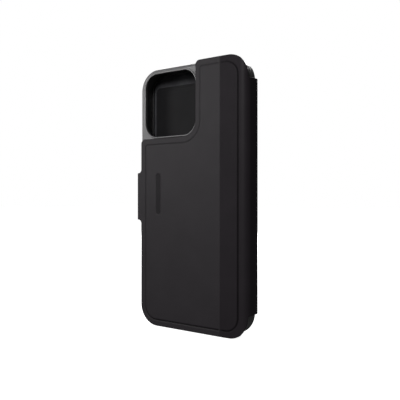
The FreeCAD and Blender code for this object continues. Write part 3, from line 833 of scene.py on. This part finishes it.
def make_linings():
    """Microfibre lining, drawn in from the leather's edge, in a piece for each piece of leather."""
    cloth = {"outline": inset_outline(BLANK, LINING_GAP), "finish": MICROFIBRE, "outer": lining_outer,
             "inner": lining_inner, "rings": (0.08, 0.25, 0.6)}
    rows = rows_between(BACK_FOLD_S - 1, SPINE_S, CLOTH_STEP) + [SPINE_MIDDLE_S - SEAM_ROW]
    # the back's lining stops short of the tab
    folded_sheet("back_lining_cloth", ("back_lining", "spine_lining"), "back_fold", "lining", rows=rows,
                 grid=3.0, cuts=(EDGE_S + 0.5, SPINE_MIDDLE_S), **cloth)
    rows = rows_between(COVER_FOLD_S, COVER_S + 1, CLOTH_STEP) + [SPINE_MIDDLE_S + SEAM_ROW]
    folded_sheet("cover_lining_cloth", ("cover_lining",), "cover_fold", "lining", rows=rows,
                 grid=3.0, cuts=(SPINE_MIDDLE_S, None), **cloth)
    folded_sheet("tab_lining_cloth", ("tab_lining",), "tab_root_fold", "lining", rows=TAB_ROWS,
                 grid=2.0, cuts=(TAB_WALL_S, EDGE_S - 0.1), **cloth)
    folded_sheet("lip_lining_cloth", ("lip_lining",), "tab_lip_fold", "lining", rows=LIP_ROWS,
                 grid=2.0, cuts=(None, TAB_WALL_S), **cloth)


def rigid_sheet(name, node, body, slot, **shape):
    """A sheet that stands for the node and rides on the body."""
    piece = sheet(name, grid=3.0, **shape)
    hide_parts(node)
    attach(piece, body)


BOARD_GAP = 0.02                                # between the cover's leather and its board
BOARD_INSET, BOARD_PAST_FOLD = TURNED + 0.05, TURNED + 0.1


def make_cover_board():
    """Stiffening board inside the front cover's leather."""
    def outer(along, up, depth):
        return np.full(len(along), -SKIN - BOARD_GAP)

    def inner(along, up, depth):
        return np.full(len(along), -COVER_DEEP)

    rigid_sheet("cover_board_sheet", "cover_board", "cover", "board", finish=BOARD, outer=outer, inner=inner,
                outline=inset_outline(BLANK, BOARD_INSET), rings=(0.1, 0.3),
                cuts=(COVER_S + BOARD_PAST_FOLD, None))


POCKET_CORNER, TIER_CORNER = 3.0, 0.6           # a pocket's corners, and the card pockets' upper ones
STITCH_IN, STITCH_HALF, STITCH_DEEP = 1.3, 0.25, 0.06
POCKET_EDGE, POCKET_CROWN = 0.2, 0.1            # the face falls by the crown over this much of its edge
POCKET_SLACK = 0.01                             # between the pocket and what it lies on


def make_pocket(node, corner_top):
    """A thin leather pocket on the cover's lining, with a stitch groove and rounded edges."""
    lowest, highest = low(node), high(node)
    stops = (COVER_S + (lowest.x - FRONT_FOLD_X), COVER_S + (highest.x - FRONT_FOLD_X), lowest.z, highest.z)
    near, far = COVER_FACE - lowest.y, COVER_FACE - highest.y

    def outer(along, up, depth):
        return np.full(len(along), near) - POCKET_SLACK

    def inner(along, up, depth):
        stitch = STITCH_DEEP * np.clip(1 - np.abs(depth - STITCH_IN) / STITCH_HALF, 0, 1)
        return np.full(len(along), far) + POCKET_CROWN * np.clip(1 - depth / POCKET_EDGE, 0, 1) + stitch

    rigid_sheet(node + "_sheet", node, "cover", "pocket", finish=POCKET_LEATHER, outer=outer, inner=inner,
                outline=box_outline(stops, (POCKET_CORNER, POCKET_CORNER, corner_top, corner_top)),
                rings=(0.06, 0.2, 0.6, 1.05, 1.2, 1.3, 1.4, 1.55))


def make_pockets():
    """The cash pocket, and three tiers of card pockets over it."""
    make_pocket("cash_pocket", POCKET_CORNER)
    for tier in ("lower", "middle", "upper"):
        make_pocket(f"card_pocket_{tier}", TIER_CORNER)


# ------------------------------ finishes
STRIP_PAINTED_SHADE, STRIP_GLOSS = 0.93, 0.25            # shares of the leather's tone and gloss beyond the crease; the tone's share is painted shade
GROOVE_BURNISH_AND_PAINTED_SHADE = 0.28                              # share of the tone at the bottom of a groove: burnishing and painted shade
LEATHER_GLOSS = 0.36
SMOKE_DARK, SMOKE_LIGHT = (0.15, 0.147, 0.15), (0.18, 0.177, 0.18)
LEATHER = leather_material()
POCKET_LEATHER = leather_material("pocket_leather", (0.034, 0.033, 0.036), (0.044, 0.043, 0.046))
MICROFIBRE = microfibre_material()
SHELL = plastic_material("smoky_shell", SMOKE_DARK, SMOKE_LIGHT, rough=0.5, coat=0.15, clear=0.1)
# painted shade on the frame's side walls and where the leather stands close
FRAME_PLASTIC = plastic_material("smoky_frame", SMOKE_DARK, SMOKE_LIGHT, rough=0.38, coat=0.3, clear=0.1,
                                 painted_side_shade=0.3)
BUTTON_PLASTIC = plastic_material("button_caps", (0.12, 0.12, 0.125), (0.15, 0.15, 0.155), rough=0.3,
                                  coat=0.2)
BOARD = board_material()
FOAM = foam_material()
STEEL = metal_material("keeper_steel", (0.52, 0.52, 0.53), rough=0.35)
NICKEL = metal_material("magnet_nickel", (0.62, 0.61, 0.58), rough=0.25)


# ------------------------------ CAD nodes that stay, with their own materials
FRAME_FINISHES = [
    (SHELL, ("shell_plate",)),
    (FRAME_PLASTIC, ("shell_bumper", "camera_bezel")),
    (FOAM, ("shell_bond_pad",)),
    (BUTTON_PLASTIC, ("power_button", "volume_up_button", "volume_down_button")),
    (BOARD, ("back_board", "strip_board", "spine_board", "tab_stiffener", "lip_stiffener")),
    (STEEL, ("keeper_plate",)),
    (NICKEL, ("lip_magnets",)),
]


def dress_frame_nodes():
    """Give the CAD nodes that stay visible their finishes."""
    for finish, nodes in FRAME_FINISHES:
        for node in nodes:
            mesh = frame["nodes"][node].data
            mesh.materials.clear()
            mesh.materials.append(finish)


# ------------------------------ stage, lights and camera
CAMERA_AT = Vector((-188.9, 251.3, 0.0)) * MM
CAMERA_TURN = math.radians(36)
SENSOR = 36.0
FOCAL_SHARE = 1.3875                            # focal length as a share of the picture's width
SHIFT_Y = -0.009                                # of the picture's width

# name, place and aim in metres, width in metres, power in watts
LIGHTS = [
    ("key", (-0.20, 0.71, 0.38), (0, 0, 0), 0.3, 5.2),
    ("gloss", (0.55, 0.55, 0.20), (0, 0, 0.03), 0.3, 1.1),
    ("front", (0.30, -0.65, 0.35), (0, 0, 0), 0.6, 6.0),
]
FLOOR_HALF, FLOOR_DROP = 3.0, 0.0004            # in metres
FLOOR_GLOW, FLOOR_DIM = 0.96, 0.12              # as the camera sees it, and as it lights the case
WORLD_FILL = 0.06


def make_camera():
    """A level camera that faces the back panel from the spine's side."""
    data = bpy.data.cameras.new("camera")
    data.sensor_width = SENSOR
    data.lens = SENSOR * FOCAL_SHARE
    data.shift_y = SHIFT_Y
    data.clip_start = 0.005
    camera = bpy.data.objects.new("camera", data)
    bpy.context.scene.collection.objects.link(camera)
    forward = Vector((math.sin(CAMERA_TURN), -math.cos(CAMERA_TURN), 0))
    camera.location = CAMERA_AT
    camera.rotation_euler = forward.to_track_quat("-Z", "Y").to_euler()
    bpy.context.scene.camera = camera


def for_camera(nodes, links, seen, otherwise, end):
    """Send one shader to the camera's own rays and another to all others."""
    path = nodes.new("ShaderNodeLightPath")
    mix = nodes.new("ShaderNodeMixShader")
    links.new(path.outputs["Is Camera Ray"], mix.inputs[0])
    links.new(otherwise.outputs[0], mix.inputs[1])
    links.new(seen.outputs[0], mix.inputs[2])
    links.new(mix.outputs[0], end.inputs["Surface"])


def floor_material():
    """Pale and evenly lit to the camera, dim to the case."""
    made, nodes, links = material("pale_floor")
    place = texture_place(nodes, links)
    mottle = noise(nodes, links, place, size=400, detail=2)
    diffuse = nodes.new("ShaderNodeBsdfDiffuse")
    links.new(ramp(nodes, links, mottle, [(0.3, 0.86), (0.7, 0.88)]), diffuse.inputs["Color"])
    glow = nodes.new("ShaderNodeEmission")
    glow.inputs["Strength"].default_value = FLOOR_GLOW
    bright = nodes.new("ShaderNodeAddShader")
    links.new(diffuse.outputs[0], bright.inputs[0])
    links.new(glow.outputs[0], bright.inputs[1])
    dim = nodes.new("ShaderNodeBsdfDiffuse")
    dim.inputs["Color"].default_value = (FLOOR_DIM, FLOOR_DIM, FLOOR_DIM, 1)
    for_camera(nodes, links, bright, dim, nodes.new("ShaderNodeOutputMaterial"))
    return made


def make_floor():
    """Plain pale floor under the case."""
    height = low("back_skin").z * MM - FLOOR_DROP
    corners = [(x * FLOOR_HALF, y * FLOOR_HALF, height) for x, y in ((-1, -1), (1, -1), (1, 1), (-1, 1))]
    mesh = bpy.data.meshes.new("floor")
    mesh.from_pydata(corners, [], [(0, 1, 2, 3)])
    mesh.materials.append(floor_material())
    floor = bpy.data.objects.new("floor", mesh)
    bpy.context.scene.collection.objects.link(floor)


def area_light(name, place, aim, size, power):
    """A round soft light that faces its aim."""
    data = bpy.data.lights.new(name, "AREA")
    data.shape = "DISK"
    data.size = size
    data.energy = power
    light = bpy.data.objects.new(name, data)
    bpy.context.scene.collection.objects.link(light)
    light.location = place
    light.rotation_euler = (Vector(aim) - Vector(place)).to_track_quat("-Z", "Y").to_euler()


def make_world():
    """White behind the case, dim everywhere else so that soft lights shape it."""
    world = bpy.data.worlds.new("studio")
    bpy.context.scene.world = world
    world.use_nodes = True
    nodes, links = world.node_tree.nodes, world.node_tree.links
    nodes.clear()
    backgrounds = []
    for strength in (1.0, WORLD_FILL):
        background = nodes.new("ShaderNodeBackground")
        background.inputs["Color"].default_value = (1, 1, 1, 1)
        background.inputs["Strength"].default_value = strength
        backgrounds.append(background)
    for_camera(nodes, links, *backgrounds, nodes.new("ShaderNodeOutputWorld"))


make_leather()
make_linings()
make_cover_board()
make_pockets()
dress_frame_nodes()
make_camera()
make_floor()
make_world()
for settings in LIGHTS:
    area_light(*settings)
bpy.context.scene.view_settings.view_transform = "Standard"
